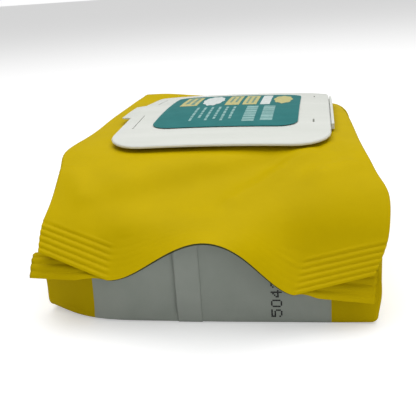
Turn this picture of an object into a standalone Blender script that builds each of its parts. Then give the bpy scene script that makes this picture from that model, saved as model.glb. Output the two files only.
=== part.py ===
"""A flow-wrapped pack of wet wipes with a rigid hinged lid, built piece by piece.

The pack lies flat, with its length along Y, its width along X and its bottom on Z = 0. The film is
one web: a top panel, a bottom panel and two side gussets. At each end the gussets tuck in between the
panels and everything is crimped into a fin. Lengths are in metres, written as millimetres times MM.
"""

import bmesh
import bpy
import numpy as np

MM = 0.001

# The film web. Each row runs across the pack at one station along it, from the free edge of the near
# fin (-Y) to that of the far fin. It gives (y, z) at five places: left edge, left fold, middle, right
# fold and right edge.
ACROSS = (-1.0, -0.5, 0.0, 0.5, 1.0)
STATIONS = (0.0, 0.06, 0.11, 0.17, 0.25, 0.35, 0.50, 0.65, 0.78, 0.85, 0.90, 0.94, 1.0)
TOP_PANEL = (
    ((-92, 28), (-98, 20.5), (-104, 35.5), (-99, 15.5), (-93, 20)),
    ((-84, 36.5), (-90, 31), (-92.5, 35), (-90, 25.5), (-86, 29.5)),
    ((-77.5, 42), (-83, 37.5), (-86, 38.5), (-88, 37), (-88, 38)),
    ((-70, 47), (-73, 45.5), (-75, 46), (-82, 47.5), (-85, 47)),
    ((-52, 51.5), (-56, 49.9), (-58, 50.3), (-62, 50.3), (-66, 50.5)),
    ((-29, 52.4), (-29, 52.7), (-29, 53.1), (-29, 52.6), (-32, 51)),
    ((9, 53), (9, 54.1), (9, 54.5), (9, 54), (9, 51.5)),
    ((47, 51.6), (47, 51.4), (47, 51.6), (47, 50.8), (47, 48.8)),
    ((74, 48.6), (74, 47.4), (74, 47.4), (74, 46.6), (72, 45.4)),
    ((85, 45), (84, 45.5), (84, 46), (85, 45), (84, 44)),
    ((90, 37), (89, 38), (89, 39), (90, 37), (89, 36)),
    ((91, 28), (92, 29), (92, 31), (93, 28), (92, 27)),
    ((99, 19), (101, 18), (104, 24), (102, 17), (99, 18)),
)
BOTTOM_PANEL = (
    ((-92, 18), (-98, 19.8), (-104, 34.8), (-99, 14.8), (-94, 11)),
    ((-82, 24), (-89.5, 30.2), (-92, 34.2), (-89.5, 24.7), (-86, 19)),
    ((-80, 14), (-87.5, 22), (-88.5, 24), (-88, 17), (-87, 12)),
    ((-80, 6), (-87.5, 10), (-88, 11), (-88, 8), (-87.5, 5)),
    ((-74, 1), (-82, 0.6), (-82, 0.6), (-82, 0.6), (-82, 0.6)),
    ((-36, 0), (-36, 0), (-36, 0), (-36, 0), (-36, 0)),
    ((9, 0), (9, 0), (9, 0), (9, 0), (9, 0)),
    ((54, 0), (54, 0), (54, 0), (54, 0), (54, 0)),
    ((82, 0.6), (83, 0.6), (83, 0.6), (83, 0.6), (82, 0.6)),
    ((87, 5), (88, 7), (88, 8), (88, 7), (87, 5)),
    ((88, 12), (89, 17), (89, 19), (89, 17), (88, 12)),
    ((90, 21), (91.5, 28.2), (91.5, 30.2), (92.5, 27.2), (91, 20)),
    ((98, 12), (101, 17.3), (104, 23.3), (102, 16.3), (98, 11)),
)
TOP_LEFT = (-56.5, -57, -57.5, -58, -59, -59, -59, -59, -58, -57, -57, -57, -57)
TOP_RIGHT = (58, 59, 60, 60.5, 57, 54, 53, 53, 54, 56, 58, 58, 58)
BOTTOM_LEFT = (-61.5, -61.5, -61, -60, -58, -57, -57, -57, -58, -59, -59, -59, -59)
BOTTOM_RIGHT = (57, 58, 59, 59, 58, 57, 57, 57, 58, 59, 60, 61, 61.5)
TOP_CORNER = (0.2, 0.2, 0.6, 3.5, 6, 7, 7, 7, 6, 3.5, 0.6, 0.2, 0.2)
BOTTOM_CORNER = (0.2, 0.2, 0.6, 3.5, 5, 6, 6, 6, 5, 3.5, 0.6, 0.2, 0.2)
GUSSET_REACH = (0.56, 0.56, 0.72, 0.90, 1, 1, 1, 1, 1, 0.90, 0.72, 0.56, 0.56)
GUSSET_SWELL = (0, 0, 0, 0, 2, 4, 4.5, 4.5, 3, 0, 0, 0, 0)
GUSSET_BACK = (0, 0, 3, 7, 3, 0, 0, 0, -3, -7, -3, 0, 0)
FIN_SHARE = 0.06
UNTUCKED_SHARE = 0.075
BONDED_TO = 0.70
LIP = 0.4 * MM
FIN = 0.6 * MM
ROWS = 29
ROWS_IN_FIN = 2
FLAT_STEPS = 9
GUSSET_STEPS = 3
CORNER_ANGLES = (90.0, 45.0, 0.0)

# The lid and what lies under it all follow one shallow dome, highest in the middle of the lid.
CENTRE_Y = 9 * MM
DOME_TOP = 57.5 * MM
DOME_FALL = (1.0 * MM, 3.9 * MM)
DOME_TILT = (0.5 * MM, 0.7 * MM)
LID_HALF = (43.5 * MM, 59.5 * MM)
LID_RADIUS = 15 * MM
LID_THICKNESS = 1.2 * MM
TAB_REACH = 4.5 * MM
TAB_HALF = 13.5 * MM
TAB_BLEND = 2.5 * MM
HINGE_HALF = 34 * MM
RAIL_WIDTH = 1.1 * MM
RAIL_DROP = 0.15 * MM
CLEARANCE = 0.3 * MM
SLIT_INSET = 6 * MM
SLIT_WIDTH = 0.4 * MM
SLIT_END = 35 * MM
RELIEF_RADIUS = 0.6 * MM
SLOT_X = 36.7 * MM
SLOT_OFFSET = 30 * MM
SLOT_SIZE = (0.8 * MM, 5 * MM)
PLUG_HALF = (16.2 * MM, 34.2 * MM)
PLUG_RADIUS = 13 * MM
PLUG_WALL = 1.0 * MM
PLUG_DEPTH = 1.9 * MM
LABEL_HALF = (30 * MM, 37 * MM)
LABEL_RADIUS = 8 * MM
LABEL_THICKNESS = 0.12 * MM
LABEL_SHIFT = (0.5 * MM, -2.5 * MM)

FRAME_HALF = (40 * MM, 55.5 * MM)
FRAME_RADIUS = 12 * MM
FRAME_FLOOR = 0.9 * MM
MOUTH_HALF = (17 * MM, 35 * MM)
MOUTH_RADIUS = 14 * MM
OPENING_HALF = (12 * MM, 30 * MM)
SEAL_HALF = (15.5 * MM, 33.5 * MM)
SEAL_RADIUS = 12 * MM
SEAL_THICKNESS = 0.15 * MM

# The stack of folded wipes: (y, half width, bottom, top) at places along it, all inside the film.
STACK = (
    (-75, 40, 8, 31), (-73, 42, 4, 35), (-67, 44, 1.6, 40.5), (-58, 45, 1.2, 45.4),
    (-48, 45, 1, 48.6), (-28, 45, 1, 50.2), (9, 45, 1, 51.3), (46, 45, 1, 48.6),
    (64, 45, 1, 46.2), (74, 44, 1.6, 43.4), (78, 42, 4, 39.6), (80, 40, 8, 35),
)
STACK_X = -4 * MM
STACK_CORNER = 5 * MM
ROOM_ROUND_WIPES = 0.35 * MM

YELLOW = (0.55, 0.42, 0.01)
WHITE = (0.80, 0.80, 0.77)
TEAL = (0.04, 0.20, 0.19)
SILVER = (0.60, 0.61, 0.62)


def clear_scene():
    for old in list(bpy.data.objects):
        bpy.data.objects.remove(old, do_unlink=True)


def plain_material(name, colour, roughness, metallic=0.0):
    """A Principled material of one colour."""
    material = bpy.data.materials.new(name)
    material.use_nodes = True
    shader = material.node_tree.nodes["Principled BSDF"]
    shader.inputs["Base Color"].default_value = (*colour, 1.0)
    shader.inputs["Roughness"].default_value = roughness
    shader.inputs["Metallic"].default_value = metallic
    return material


def shell(points, faces, inward=False):
    """A closed skin as a bmesh, with its faces all turned out, or all in for a hollow."""
    skin = bmesh.new()
    made = [skin.verts.new(point) for point in points]
    for face in faces:
        skin.faces.new([made[index] for index in face])
    bmesh.ops.recalc_face_normals(skin, faces=skin.faces)
    if inward:
        bmesh.ops.reverse_faces(skin, faces=skin.faces)
    return skin


def solid(name, shells, material=None):
    """A smooth-shaded object made of one skin, or of one skin and the wall of its hollow."""
    whole = bmesh.new()
    for skin in shells:
        part = bpy.data.meshes.new(name + "_skin")
        skin.to_mesh(part)
        skin.free()
        whole.from_mesh(part)
        bpy.data.meshes.remove(part)
    mesh = bpy.data.meshes.new(name)
    whole.to_mesh(mesh)
    whole.free()
    mesh.shade_smooth()
    mesh.set_sharp_from_angle(angle=np.radians(35))
    if material:
        mesh.materials.append(material)
    made = bpy.data.objects.new(name, mesh)
    bpy.context.scene.collection.objects.link(made)
    return made


def combine(target, helper, operation):
    """Cut a hidden helper out of the target, or join it on."""
    helper.hide_render = True
    helper.display_type = "WIRE"
    modifier = target.modifiers.new(helper.name, "BOOLEAN")
    modifier.operation = operation
    modifier.solver = "EXACT"
    modifier.object = helper


def curve_through(knots, values, at):
    """Smooth curve through values at knots. It never overshoots: slopes are harmonic means."""
    knots = np.asarray(knots, float)
    values = np.asarray(values, float)
    widths = np.diff(knots).reshape((-1,) + (1,) * (values.ndim - 1))
    secants = np.diff(values, axis=0) / widths
    before, after = secants[:-1], secants[1:]
    same_way = before * after > 0
    total = np.where(same_way, before + after, 1.0)
    inner = np.where(same_way, 2 * before * after / total, 0.0)
    slopes = np.concatenate([secants[:1], inner, secants[-1:]])
    place = np.clip(np.searchsorted(knots, at, side="right") - 1, 0, len(knots) - 2)
    width = widths[place]
    t = ((at - knots[place]) / np.diff(knots)[place]).reshape(width.shape)
    start = (1 + 2 * t) * (1 - t) ** 2 * values[place] + t * (1 - t) ** 2 * width * slopes[place]
    end = t * t * (3 - 2 * t) * values[place + 1] - t * t * (1 - t) * width * slopes[place + 1]
    return start + end


def loop_faces(rows, around):
    """Quads of a tube made of closed loops."""
    faces = []
    for row in range(rows - 1):
        for step in range(around):
            after = (step + 1) % around
            first, second = row * around, (row + 1) * around
            faces.append((first + step, second + step, second + after, first + after))
    return faces


def film_faces(loops):
    """Triangles of the film's loops. Layers that lie face to face are split along the same
    diagonals, so that they stay parallel where the film twists."""
    rows, around = loops.shape[:2]
    faces = []
    for row in range(rows - 1):
        for step in range(around):
            after = (step + 1) % around
            near, near_after = row * around + step, row * around + after
            far, far_after = near + around, near_after + around
            if loops[row, after, 0] > loops[row, step, 0]:
                faces += [(near, far_after, far), (near, near_after, far_after)]
            else:
                faces += [(near, near_after, far), (near_after, far_after, far)]
    return faces


def panel(table, lefts, rights, corners, at, places, rise, under=None):
    """Rows of points across one panel, with a quarter-round corner at both edges. `rise` is -1
    where the corner falls below the panel and 1 where it climbs above it. In the fins the middle
    of the panel is bonded to the panel that it lies under."""
    left, right, radius = (curve_through(STATIONS, v, at) * MM for v in (lefts, rights, corners))
    rows = curve_through(STATIONS, np.array(table, float) * MM, at)
    across = curve_through(ACROSS, rows.transpose(1, 0, 2), places).transpose(1, 0, 2)
    share = (places[None, :] + 1) / 2
    x = (left + radius)[:, None] * (1 - share) + (right - radius)[:, None] * share
    flat = np.concatenate([x[:, :, None], across], axis=2)
    if under is not None:
        bonded = under - FIN * upward(under)
        bond = np.clip((BONDED_TO - abs(places)) / (BONDED_TO - GUSSET_REACH[0]), 0, 1)
        share = (tucked(at)[:, None] * bond[None, :])[:, :, None]
        flat = share * bonded + (1 - share) * flat
    normals = upward(flat)
    ends = []
    for edge, outward in ((0, -1), (-1, 1)):
        for angle in np.radians(CORNER_ANGLES[:-1]):
            corner = flat[:, edge].copy()
            corner[:, 0] += outward * radius * np.sin(angle)
            corner += rise * (radius * (1 - np.cos(angle)))[:, None] * normals[:, edge]
            ends.append(corner)
    half = len(ends) // 2
    return flat, np.stack(ends[:half], axis=1), np.stack(ends[half:][::-1], axis=1)


def tucked(at):
    """1 in the fins, where the gussets lie against the panels, and 0 past their roots."""
    from_end = np.minimum(at, 1 - at)
    return np.clip((UNTUCKED_SHARE - from_end) / (UNTUCKED_SHARE - FIN_SHARE), 0, 1)


def upward(grid):
    """Unit normals of a (row, place) grid of points, on the side that faces up on a flat panel."""
    normals = np.cross(np.gradient(grid, axis=1), np.gradient(grid, axis=0))
    return normals / np.linalg.norm(normals, axis=2, keepdims=True)


def film_loops(at):
    """Closed loops round the film, one for each station, as a (station, step, xyz) array."""
    shares = (np.arange(GUSSET_STEPS) + 0.12) / GUSSET_STEPS
    fold = GUSSET_REACH[0]
    outer = 1 - shares * (1 - fold)
    middle = np.linspace(-fold, fold, FLAT_STEPS)
    places = np.concatenate([[-1.0], -outer, middle, outer[::-1], [1.0]])
    top, top_left, top_right = panel(TOP_PANEL, TOP_LEFT, TOP_RIGHT, TOP_CORNER, at, places, -1)
    low, low_left, low_right = panel(
        BOTTOM_PANEL, BOTTOM_LEFT, BOTTOM_RIGHT, BOTTOM_CORNER, at, places, 1, top
    )
    pressed = tucked(at)[:, None, None]
    reach = curve_through(STATIONS, GUSSET_REACH, at)
    swell = curve_through(STATIONS, GUSSET_SWELL, at) * MM
    back = curve_through(STATIONS, GUSSET_BACK, at) * MM
    sides = {}
    for side, edge, ends in ((1, -1, (top_right, low_right)), (-1, 0, (top_left, low_left))):
        fold_points = np.empty((len(at), 3))
        for row, place in enumerate(reach):
            for axis in range(3):
                upper = np.interp(side * place, places, top[row, :, axis])
                lower = np.interp(side * place, places, low[row, :, axis])
                fold_points[row, axis] = (upper + lower) / 2
        fold_points[:, 0] += side * swell
        fold_points[:, 1] += back
        layers = []
        picked = [int(np.argmin(abs(places - side * place))) for place in outer]
        for panel_points, corner, sign in ((top, ends[0], -1), (low, ends[1], 1)):
            start = corner[:, edge][:, None]
            straight = start + shares[None, :, None] * (fold_points[:, None] - start)
            lined = (panel_points + sign * LIP * upward(panel_points))[:, picked]
            layers.append(pressed * lined + (1 - pressed) * straight)
        sides[side] = (layers[0], fold_points[:, None], layers[1])
    right_up, right_fold, right_low = sides[1]
    left_up, left_fold, left_low = sides[-1]
    return np.concatenate(
        [
            top_left, top, top_right, right_up, right_fold, right_low[:, ::-1],
            low_right[:, ::-1], low[:, ::-1], low_left[:, ::-1], left_low, left_fold,
            left_up[:, ::-1],
        ],
        axis=1,
    )


def end_cap(around):
    """Faces that close one loop: the middle between the panels, and each lip by itself."""
    corners = len(CORNER_ANGLES) - 1
    steps = GUSSET_STEPS
    run = FLAT_STEPS + 2 * steps + 2 + 2 * corners
    top = list(range(run))
    right_up = list(range(run, run + steps))
    right_fold = run + steps
    right_low = list(range(right_fold + steps, right_fold, -1))
    low = list(range(right_fold + steps + run, right_fold + steps, -1))
    left_low = list(range(low[0] + 1, low[0] + 1 + steps))
    left_fold = low[0] + 1 + steps
    left_up = list(range(around - 1, left_fold, -1))
    first = corners + 1 + steps
    last = first + FLAT_STEPS - 1
    faces = [(top[first], low[first], left_fold), (top[last], right_fold, low[last])]
    for step in range(first, last):
        faces.append((top[step], top[step + 1], low[step + 1], low[step]))
    lips = (
        (top[::-1], right_up, right_fold), (top, left_up, left_fold),
        (low[::-1], right_low, right_fold), (low, left_low, left_fold),
    )
    for chain, layer, fold in lips:
        faces.append((*chain[:corners + 2], layer[0]))
        for step, inner in enumerate(layer[1:] + [fold]):
            outer = corners + 1 + step
            faces.append((chain[outer], chain[outer + 1], inner, layer[step]))
    return faces


def film_skin(loops):
    """The outer skin of the film, closed along the free edges of both fins."""
    rows, around = loops.shape[:2]
    near = end_cap(around)
    last = (rows - 1) * around
    far = [tuple(last + index for index in face) for face in near]
    return shell(loops.reshape(-1, 3), film_faces(loops) + near + far)


def film_stations():
    """Places along the web, closer together in the fins and on the end panels."""
    shares = (1 - np.cos(np.linspace(0, np.pi, ROWS - 2 * ROWS_IN_FIN))) / 2
    inside = FIN_SHARE + (1 - 2 * FIN_SHARE) * shares
    fins = np.linspace(0, FIN_SHARE, ROWS_IN_FIN, endpoint=False)
    return np.concatenate([fins, inside, 1 - fins[::-1]])


def film_wrap(material):
    """The film: an outer skin, the wall of the hollow round the wipes, and the opening in its top."""
    hollow = shell(*stack_skin(ROOM_ROUND_WIPES), inward=True)
    film = solid("film_wrap", [film_skin(film_loops(film_stations())), hollow], material)
    opening = straight_block("film_opening", OPENING_HALF, OPENING_HALF[0], 45 * MM, 62 * MM)
    combine(film, opening, "DIFFERENCE")
    return film


def outline(half, radius, tab=0.0):
    """Points round a rounded rectangle, clockwise from above, with room for a tab at -X."""
    half_x, half_y = half
    radius = min(radius, half_x * 0.999, half_y * 0.999)
    quarter = np.radians(np.linspace(0, 90, 7))
    reach_x, reach_y = half_x - radius, half_y - radius
    tab_at = np.array([-TAB_HALF - TAB_BLEND, -TAB_HALF, 0, TAB_HALF, TAB_HALF + TAB_BLEND])
    tab_at = tab_at * min(1.0, reach_y * 0.98 / (TAB_HALF + TAB_BLEND))
    tab_out = np.array([0, 1, 1, 1, 0]) * tab
    inside = np.linspace(-1, 1, 7)[1:-1]
    points = []
    points += [(-reach_x - radius * np.cos(a), reach_y + radius * np.sin(a)) for a in quarter]
    points += [(reach_x * t, half_y) for t in inside]
    points += [(reach_x + radius * np.sin(a), reach_y + radius * np.cos(a)) for a in quarter]
    points += [(half_x, -reach_y * t) for t in inside]
    points += [(reach_x + radius * np.cos(a), -reach_y - radius * np.sin(a)) for a in quarter]
    points += [(-reach_x * t, -half_y) for t in inside]
    points += [(-reach_x - radius * np.sin(a), -reach_y - radius * np.cos(a)) for a in quarter]
    points += [(-half_x - out, y) for out, y in zip(tab_out, tab_at)]
    return np.array(points)


def dome(x, y):
    """Height of the top face of the lid."""
    across, along = x / LID_HALF[0], (y - CENTRE_Y) / LID_HALF[1]
    fall = DOME_FALL[0] * across**2 + DOME_FALL[1] * along**2
    return DOME_TOP - fall - DOME_TILT[0] * across - DOME_TILT[1] * along


def on_dome(rings, depths):
    """Rings of outline points, laid under the dome at their depths."""
    placed = []
    for ring, depth in zip(rings, depths):
        x = ring[:, 0]
        y = ring[:, 1] + CENTRE_Y
        placed.append(np.stack([x, y, dome(x, y) - depth], axis=1))
    return np.array(placed)


def inset(half, radius, by, tab=0.0):
    return outline((half[0] - by, half[1] - by), max(radius - by, 1 * MM), tab)


def domed_plate(name, profile, half, radius, material, tab=0.0, shift=(0.0, 0.0)):
    """A plate whose profile of (inset, depth, shrink) runs from its top middle round its edge to
    its bottom middle. Past the last inset a ring shrinks towards the middle. `shift` moves the
    plate sideways off the middle of the lid."""
    rings = [
        inset(half, radius, by, tab if by == 0 else 0.0) * shrink + np.array(shift)
        for by, _, shrink in profile
    ]
    depths = [depth for _, depth, _ in profile]
    loops = on_dome(rings, depths)
    rows, around = loops.shape[:2]
    x, y = shift[0], CENTRE_Y + shift[1]
    middles = [(x, y, dome(x, y) - depth) for depth in (depths[0], depths[-1])]
    faces = loop_faces(rows, around)
    for middle, ring in ((rows * around, 0), (rows * around + 1, (rows - 1) * around)):
        for step in range(around):
            faces.append((middle, ring + step, ring + (step + 1) % around))
    return solid(name, [shell(np.concatenate([loops.reshape(-1, 3), middles]), faces)], material)


def plate_profile(thickness, top, deep, edge):
    """The profile of a plain plate: `top` is the depth of its upper face, `deep` its widest inset
    and `edge` the rounding of its rim."""
    shrinks = (0.35, 0.7)
    low = top + thickness
    upper = [(deep, top, k) for k in shrinks] + [(deep, top, 1), (deep / 2, top, 1)]
    rim = [(edge, top, 1), (0, top + edge, 1), (0, low - edge, 1), (edge, low, 1)]
    lower = [(deep / 2, low, 1), (deep, low, 1)] + [(deep, low, k) for k in shrinks[::-1]]
    return upper + rim + lower


def domed_frame(name, profile, material=None):
    """A frame whose closed profile of (half size, corner radius, depth) goes round the middle."""
    rings = [outline(half, radius) for half, radius, _ in profile]
    loops = on_dome(rings, [depth for _, _, depth in profile])
    rows, around = loops.shape[:2]
    faces = [tuple(index % (rows * around) for index in f) for f in loop_faces(rows + 1, around)]
    return solid(name, [shell(loops.reshape(-1, 3), faces)], material)


def domed_rail(name, profile, half_length):
    """A rail along Y whose closed profile of (x, depth) follows the edge of the dome."""
    rings = []
    for offset in np.linspace(-half_length, half_length, 9):
        y = CENTRE_Y + offset
        rings.append([(x, y, dome(LID_HALF[0], y) - depth) for x, depth in profile])
    rows, around = len(rings), len(profile)
    ends = [tuple(range(around)), tuple(range((rows - 1) * around, rows * around))]
    return solid(name, [shell(np.concatenate(rings), loop_faces(rows, around) + ends)])


def straight_block(name, half, radius, bottom, top, centre=(0.0, CENTRE_Y)):
    """A straight-sided block with a rounded outline, for cutting."""
    ring = outline(half, radius) + np.array(centre)
    around = len(ring)
    points = [(x, y, z) for z in (bottom, top) for x, y in ring]
    ends = [tuple(range(around)), tuple(range(around, 2 * around))]
    return solid(name, [shell(points, loop_faces(2, around) + ends)])


def stack_skin(room=0.0):
    """Points and faces of the block of wipes, or of the hollow that leaves `room` round it."""
    rings = []
    angles = np.radians(np.linspace(0, 90, 4))
    radius = STACK_CORNER + room
    for place, (y, half_width, bottom, top) in enumerate(STACK):
        half = half_width * MM - STACK_CORNER
        low = bottom * MM + STACK_CORNER
        high = top * MM - STACK_CORNER
        y = y * MM + room * ((place == len(STACK) - 1) - (place == 0))
        ring = []
        for turn, (x, z) in enumerate(((half, high), (half, low), (-half, low), (-half, high))):
            for angle in angles + turn * np.pi / 2:
                ring.append((STACK_X + x + radius * np.sin(angle), y, z + radius * np.cos(angle)))
        rings.append(ring)
    rows, around = len(rings), len(rings[0])
    ends = [tuple(range(around)), tuple(range((rows - 1) * around, rows * around))]
    return np.concatenate(rings), loop_faces(rows, around) + ends


def wipes_stack(material):
    """The folded wipes, pressed into one block that fills the film."""
    return solid("wipes_stack", [shell(*stack_skin())], material)


def seal_sticker(material):
    """The peel-off sticker over the opening in the film, inside the mouth of the frame."""
    top = LID_THICKNESS + CLEARANCE + FRAME_FLOOR
    profile = plate_profile(SEAL_THICKNESS, top - 0.05 * MM, 6 * MM, 0.04 * MM)
    return domed_plate("seal_sticker", profile, SEAL_HALF, SEAL_RADIUS, material)


def lid_frame(material):
    """The moulded frame bonded to the film: a floor round the mouth, and the rail of the hinge."""
    top = LID_THICKNESS + CLEARANCE
    low = top + FRAME_FLOOR
    rim = (FRAME_HALF, FRAME_RADIUS)
    mouth = (MOUTH_HALF, MOUTH_RADIUS)
    middle = tuple(np.add(FRAME_HALF, MOUTH_HALF) / 2), (FRAME_RADIUS + MOUTH_RADIUS) / 2
    profile = [(*ring, top) for ring in (rim, middle, mouth)]
    profile += [(*ring, low) for ring in (mouth, middle, rim)]
    frame = domed_frame("lid_frame", profile, material)
    inner = LID_HALF[0] + CLEARANCE
    outer = inner + RAIL_WIDTH
    root = FRAME_HALF[0] - 2 * MM
    tongue = top + 0.05 * MM
    rail = [(root, tongue), (inner, tongue), (inner, RAIL_DROP), (outer, RAIL_DROP)]
    rail += [(outer, low), (root, low)]
    combine(frame, domed_rail("hinge_rail", rail, HINGE_HALF), "UNION")
    return frame


def lid(material):
    """The lid: a domed plate with an opening tab at -X, a plug ring under it, two slots over the
    ends of the hinge and a relief slit on each side of the tab."""
    profile = plate_profile(LID_THICKNESS, 0.0, 12 * MM, 0.35 * MM)
    plate = domed_plate("lid", profile, LID_HALF, LID_RADIUS, material, TAB_REACH)
    outside = (PLUG_HALF, PLUG_RADIUS)
    inside = (tuple(np.subtract(PLUG_HALF, PLUG_WALL)), PLUG_RADIUS - PLUG_WALL)
    plug = [(*ring, LID_THICKNESS / 2) for ring in (outside, inside)]
    plug += [(*ring, PLUG_DEPTH) for ring in (inside, outside)]
    combine(plate, domed_frame("lid_plug", plug), "UNION")
    for side in (-1, 1):
        centre = (SLOT_X, CENTRE_Y + side * SLOT_OFFSET)
        half = (SLOT_SIZE[0] / 2, SLOT_SIZE[1] / 2)
        slot = straight_block(f"slot_{side + 2}", half, half[0], 45 * MM, 62 * MM, centre)
        combine(plate, slot, "DIFFERENCE")
        x = SLIT_INSET - LID_HALF[0]
        length = SLIT_END - TAB_HALF
        half = (SLIT_WIDTH / 2, length / 2)
        centre = (x, CENTRE_Y + side * (TAB_HALF + length / 2))
        slit = straight_block(f"slit_{side + 2}", half, half[0], 45 * MM, 62 * MM, centre)
        combine(plate, slit, "DIFFERENCE")
        half = (RELIEF_RADIUS, RELIEF_RADIUS)
        centre = (x, CENTRE_Y + side * SLIT_END)
        relief = straight_block(f"relief_{side + 2}", half, RELIEF_RADIUS, 45 * MM, 62 * MM, centre)
        combine(plate, relief, "DIFFERENCE")
    return plate


def lid_label(material):
    """The printed label stuck on the lid."""
    profile = plate_profile(LABEL_THICKNESS, -CLEARANCE - LABEL_THICKNESS, 7 * MM, 0.03 * MM)
    return domed_plate(
        "lid_label", profile, LABEL_HALF, LABEL_RADIUS, material, shift=LABEL_SHIFT
    )


def hang_lid(pieces):
    """Parent the lid and its label to an empty on the hinge's axis."""
    hinge = bpy.data.objects.new("lid_hinge", None)
    hinge.location = (LID_HALF[0] + CLEARANCE / 2, CENTRE_Y, dome(LID_HALF[0], CENTRE_Y))
    bpy.context.scene.collection.objects.link(hinge)
    bpy.context.view_layer.update()
    for piece in pieces:
        piece.parent = hinge
        piece.matrix_parent_inverse = hinge.matrix_world.inverted()


def main():
    clear_scene()
    white = plain_material("white_plastic", WHITE, 0.45)
    film_wrap(plain_material("yellow_film", YELLOW, 0.4))
    wipes_stack(plain_material("wipes", (0.85, 0.86, 0.86), 0.95))
    seal_sticker(plain_material("sticker_foil", SILVER, 0.3, 0.6))
    lid_frame(white)
    hang_lid([lid(white), lid_label(plain_material("label_film", TEAL, 0.35))])


main()
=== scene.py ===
"""Looks of a flow-wrapped pack of wet wipes with a rigid hinged lid, made piece by piece."""

import bpy
import numpy as np
from mathutils import Matrix, Vector
from mathutils.bvhtree import BVHTree


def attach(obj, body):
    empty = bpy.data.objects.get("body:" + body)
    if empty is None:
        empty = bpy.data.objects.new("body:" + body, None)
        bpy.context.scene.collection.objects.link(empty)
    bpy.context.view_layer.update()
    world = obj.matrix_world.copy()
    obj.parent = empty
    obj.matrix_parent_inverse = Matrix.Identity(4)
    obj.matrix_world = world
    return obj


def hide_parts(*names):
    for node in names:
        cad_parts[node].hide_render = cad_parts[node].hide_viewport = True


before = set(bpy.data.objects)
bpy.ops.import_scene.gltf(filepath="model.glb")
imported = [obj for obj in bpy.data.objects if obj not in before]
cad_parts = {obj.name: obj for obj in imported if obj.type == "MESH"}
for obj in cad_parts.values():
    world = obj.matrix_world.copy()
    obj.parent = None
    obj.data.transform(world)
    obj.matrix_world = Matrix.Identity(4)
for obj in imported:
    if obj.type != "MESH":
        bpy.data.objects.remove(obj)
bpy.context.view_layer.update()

# ---------------------------------------------------------------------------------------------
# The film wrap. One printed web of soft plastic laminate, folded round the wipes: a top panel, a
# bottom panel and a gusset down each side. At both ends the gussets tuck in between the panels and
# heated jaws crimp all the layers into a ribbed fin.
# ---------------------------------------------------------------------------------------------

MM = 0.001

# The shape of the web, in millimetres. Each row of a panel runs across the pack at one share of the
# way along the web, from the free edge of the near fin to that of the far fin. It gives (y, z) at
# nine places from the left edge to the right.
ACROSS = (-1.0, -0.78, -0.56, -0.28, 0.08, 0.28, 0.56, 0.78, 1.0)
STATIONS = (
    0, 0.06, 0.10, 0.15, 0.20, 0.25, 0.29, 0.35,
    0.50, 0.65, 0.73, 0.78, 0.85, 0.90, 0.94, 1,
)
TOP_PANEL = (
    (
        (-92, 28), (-94.5, 24), (-98, 20.3), (-100.5, 26.8), (-103, 35.2),
        (-102, 29.6), (-98, 15), (-94.5, 18.3), (-93, 19.7),
    ),
    (
        (-85, 36), (-86.5, 34), (-89.5, 31), (-90.5, 34), (-91, 37.2),
        (-91, 34), (-90.5, 26), (-88.5, 29.5), (-87, 29.5),
    ),
    (
        (-80, 40.2), (-82, 38.5), (-86, 35.5), (-85.5, 37), (-84, 38.8),
        (-84, 37.8), (-86.5, 34), (-84, 36.5), (-82.5, 36),
    ),
    (
        (-73, 44.8), (-74.5, 44), (-79, 41.5), (-77, 40.3), (-75.5, 40.6),
        (-76, 40.9), (-79, 41.6), (-77, 43.2), (-75.5, 42.4),
    ),
    (
        (-66, 48.6), (-67, 47.8), (-70, 47.2), (-67, 45.8), (-65.5, 44.6),
        (-66, 43.9), (-69, 45.6), (-69, 47), (-68, 46.2),
    ),
    (
        (-58, 51.3), (-58.5, 50.6), (-60, 50.2), (-58.5, 50), (-57.5, 49.2),
        (-57, 48.2), (-59, 48), (-60, 49.2), (-60, 49),
    ),
    (
        (-50.5, 53), (-51, 51.6), (-51, 51.3), (-51, 51.4), (-51, 51.3),
        (-51, 51), (-51, 50.6), (-52, 50.6), (-52, 50.6),
    ),
    (
        (-29, 52.8), (-29, 52.7), (-29, 52.7), (-29, 52.9), (-29, 53.1),
        (-29, 52.9), (-30, 52.4), (-32, 51.8), (-35, 50.8),
    ),
    (
        (9, 52.8), (9, 53.6), (9, 54), (9, 54.3), (9, 54.3),
        (9, 54.1), (9, 53.4), (9, 52.5), (9, 51),
    ),
    (
        (47, 52.8), (47, 52.4), (47, 52.1), (47, 52.3), (47, 52.3),
        (47, 52.1), (47, 51.4), (47, 50.5), (47, 48.6),
    ),
    (
        (66, 52.8), (66, 51.4), (66, 50.2), (66, 50.1), (66, 50),
        (66, 49.7), (66, 49), (66, 48.2), (65, 46.4),
    ),
    (
        (76, 52.9), (76, 52.5), (76, 51.2), (76, 50.3), (76, 49.8),
        (76, 49.3), (75, 48.5), (74, 47.4), (73, 45),
    ),
    (
        (86.5, 50), (86, 50), (86, 49), (86, 48), (86, 47),
        (86, 46.5), (85, 45.5), (85, 44.5), (84, 42),
    ),
    (
        (90, 39), (89, 39), (89, 38), (89, 38.5), (89, 39),
        (89, 38.5), (90, 37.5), (90, 37), (89, 36),
    ),
    (
        (91, 29), (92, 29), (92, 29), (92, 30.3), (92, 31),
        (92.5, 30), (93, 28), (93, 27.5), (92, 27),
    ),
    (
        (99, 19), (100, 18), (101, 18), (103, 22), (104, 24),
        (103.5, 21), (102, 17), (101, 17.4), (99, 18),
    ),
)
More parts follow.
